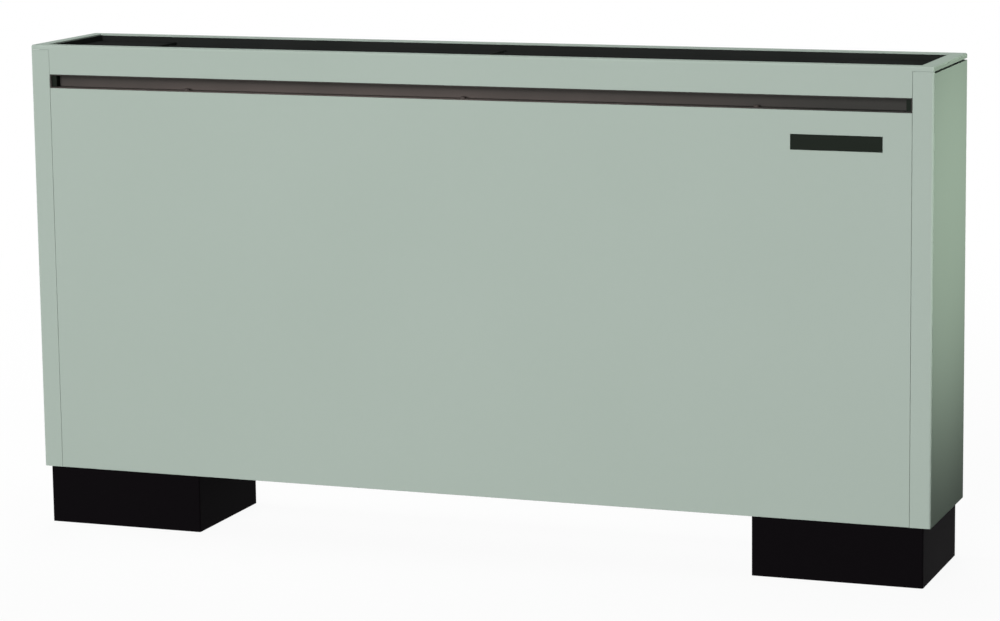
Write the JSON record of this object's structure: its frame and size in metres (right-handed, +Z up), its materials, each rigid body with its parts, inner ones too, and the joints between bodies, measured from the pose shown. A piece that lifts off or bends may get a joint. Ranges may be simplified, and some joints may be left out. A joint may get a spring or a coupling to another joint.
{
  "type": "floor console air conditioner",
  "caption": "Slim floor-standing console air conditioner: painted sheet cabinet on plinth feet, louvred top outlet, hinged end lids, blower fans, leaning coil and drop-out filter.",
  "frame": {"origin": "floor level, under the middle of the cabinet", "axes": "+X to the right seen from the front, +Y to the wall behind, +Z up"},
  "size_m": [1.2, 0.1812, 0.635],
  "materials": {
    "sage_paint": "satin, fine-grained",
    "foot_black": "satin",
    "slot_brown": "matt",
    "plate_black": "satin",
    "grille_black": "matt, fine moulded grain",
    "knob_ivory": "smooth",
    "galvanised": "spangled zinc",
    "zinc_steel": "bright zinc",
    "screw_black": "black oxide",
    "fan_grey": "matt",
    "motor_paint": "satin",
    "bearing_bronze": "turned",
    "rubber": "matt",
    "fin_aluminium": "bright rolled",
    "copper": "drawn tube",
    "vent_brass": "turned",
    "pan_plastic": "matt",
    "filter_plastic": "matt",
    "filter_mesh": "woven",
    "grey_plastic": "matt"
  },
  "bodies": {
    "cabinet": {"right_side_panel": "sage_paint", "left_side_panel": "sage_paint", "front_panel": "sage_paint", "front_panel_stiffeners": "galvanised", "top_panel": "sage_paint", "slot_trim": "slot_brown", "front_panel_screws": "screw_black", "name_plate": "plate_black", "right_foot": "foot_black", "left_foot": "foot_black", "foot_bolts": "zinc_steel", "grille_frame": "grille_black", "control_plate": "galvanised", "base_plate": "galvanised", "rear_panel": "galvanised", "right_end_frame": "galvanised", "left_end_frame": "galvanised", "fan_deck": "galvanised", "filter_springs": "zinc_steel", "right_fan_scroll": "galvanised", "left_fan_scroll": "galvanised", "fan_motor": "motor_paint", "motor_bearings": "bearing_bronze", "motor_rubber_rings": "rubber", "motor_cradle": "galvanised", "bearing_hangers": "galvanised", "outboard_bearings": "bearing_bronze", "coil_fins": "fin_aluminium", "coil_end_plates": "galvanised", "return_bends": "copper", "supply_header": "copper", "return_header": "copper", "drain_pan": "pan_plastic", "terminal_box": "galvanised", "terminal_cover": "galvanised", "terminal_block": "grey_plastic", "motor_capacitor": "grey_plastic", "cable_gland": "grey_plastic"},
    "fan_rotor": {"fan_shaft": "zinc_steel", "right_fan_wheel": "fan_grey", "left_fan_wheel": "fan_grey"},
    "filter": {"filter_frame": "filter_plastic", "filter_mesh": "filter_mesh"},
    "louvre_1": {"louvre_1": "grille_black"},
    "louvre_2": {"louvre_2": "grille_black"},
    "louvre_3": {"louvre_3": "grille_black"},
    "louvre_4": {"louvre_4": "grille_black"},
    "louvre_5": {"louvre_5": "grille_black"},
    "louvre_6": {"louvre_6": "grille_black"},
    "link": {"louvre_link": "grille_black"},
    "control_lid": {"control_lid": "grille_black"},
    "vent_lid": {"vent_lid": "grille_black"},
    "thermostat_knob": {"thermostat_knob": "knob_ivory"},
    "speed_knob": {"speed_knob": "knob_ivory"},
    "air_vent": {"air_vent_screw": "vent_brass"}
  },
  "joints": [
    {"name": "fan_spin", "type": "hinge", "parent": "cabinet", "child": "fan_rotor", "pos_m": [0, -0.002, 0.19], "axis": [1, 0, 0], "continuous": true},
    {"name": "filter_drop", "type": "slide", "parent": "cabinet", "child": "filter", "axis": [0, 0, -1], "range_m": [0, 0.06]},
    {"name": "louvre_1_tilt", "type": "hinge", "parent": "cabinet", "child": "louvre_1", "pos_m": [0, -0.05992, 0.615], "axis": [1, 0, 0], "range_deg": [-40, 40]},
    {"name": "louvre_2_tilt", "type": "hinge", "parent": "cabinet", "child": "louvre_2", "pos_m": [0, -0.03675, 0.615], "axis": [1, 0, 0], "range_deg": [-40, 40]},
    {"name": "louvre_3_tilt", "type": "hinge", "parent": "cabinet", "child": "louvre_3", "pos_m": [0, -0.01358, 0.615], "axis": [1, 0, 0], "range_deg": [-40, 40]},
    {"name": "louvre_4_tilt", "type": "hinge", "parent": "cabinet", "child": "louvre_4", "pos_m": [0, 0.00958, 0.615], "axis": [1, 0, 0], "range_deg": [-40, 40]},
    {"name": "louvre_5_tilt", "type": "hinge", "parent": "cabinet", "child": "louvre_5", "pos_m": [0, 0.03275, 0.615], "axis": [1, 0, 0], "range_deg": [-40, 40]},
    {"name": "louvre_6_tilt", "type": "hinge", "parent": "cabinet", "child": "louvre_6", "pos_m": [0, 0.05592, 0.615], "axis": [1, 0, 0], "range_deg": [-40, 40]},
    {"name": "link_slide", "type": "slide", "parent": "cabinet", "child": "link", "axis": [0, 1, 0], "range_m": [-0.0058, 0.0058]},
    {"name": "control_lid_hinge", "type": "hinge", "parent": "cabinet", "child": "control_lid", "pos_m": [0.525, 0.0615, 0.624], "axis": [-1, 0, 0], "range_deg": [0, 90]},
    {"name": "vent_lid_hinge", "type": "hinge", "parent": "cabinet", "child": "vent_lid", "pos_m": [-0.525, 0.0615, 0.624], "axis": [-1, 0, 0], "range_deg": [0, 90]},
    {"name": "thermostat_knob_turn", "type": "hinge", "parent": "cabinet", "child": "thermostat_knob", "pos_m": [0.5172, -0.033, 0.587], "axis": [0, 0, -1], "range_deg": [-135, 135]},
    {"name": "speed_knob_turn", "type": "hinge", "parent": "cabinet", "child": "speed_knob", "pos_m": [0.5172, 0.029, 0.587], "axis": [0, 0, -1], "range_deg": [0, 90]},
    {"name": "air_vent_turn", "type": "hinge", "parent": "cabinet", "child": "air_vent", "pos_m": [-0.5312, 0.05396, 0.50388], "axis": [0, 0.4229, 0.9062], "range_deg": [0, 180]}
  ],
  "couplings": [
    {"joint": "louvre_2_tilt", "follows": "louvre_1_tilt", "ratio": 1},
    {"joint": "louvre_3_tilt", "follows": "louvre_1_tilt", "ratio": 1},
    {"joint": "louvre_4_tilt", "follows": "louvre_1_tilt", "ratio": 1},
    {"joint": "louvre_5_tilt", "follows": "louvre_1_tilt", "ratio": 1},
    {"joint": "louvre_6_tilt", "follows": "louvre_1_tilt", "ratio": 1},
    {"joint": "link_slide", "follows": "louvre_1_tilt", "m_per_rad": 0.0082865}
  ]
}
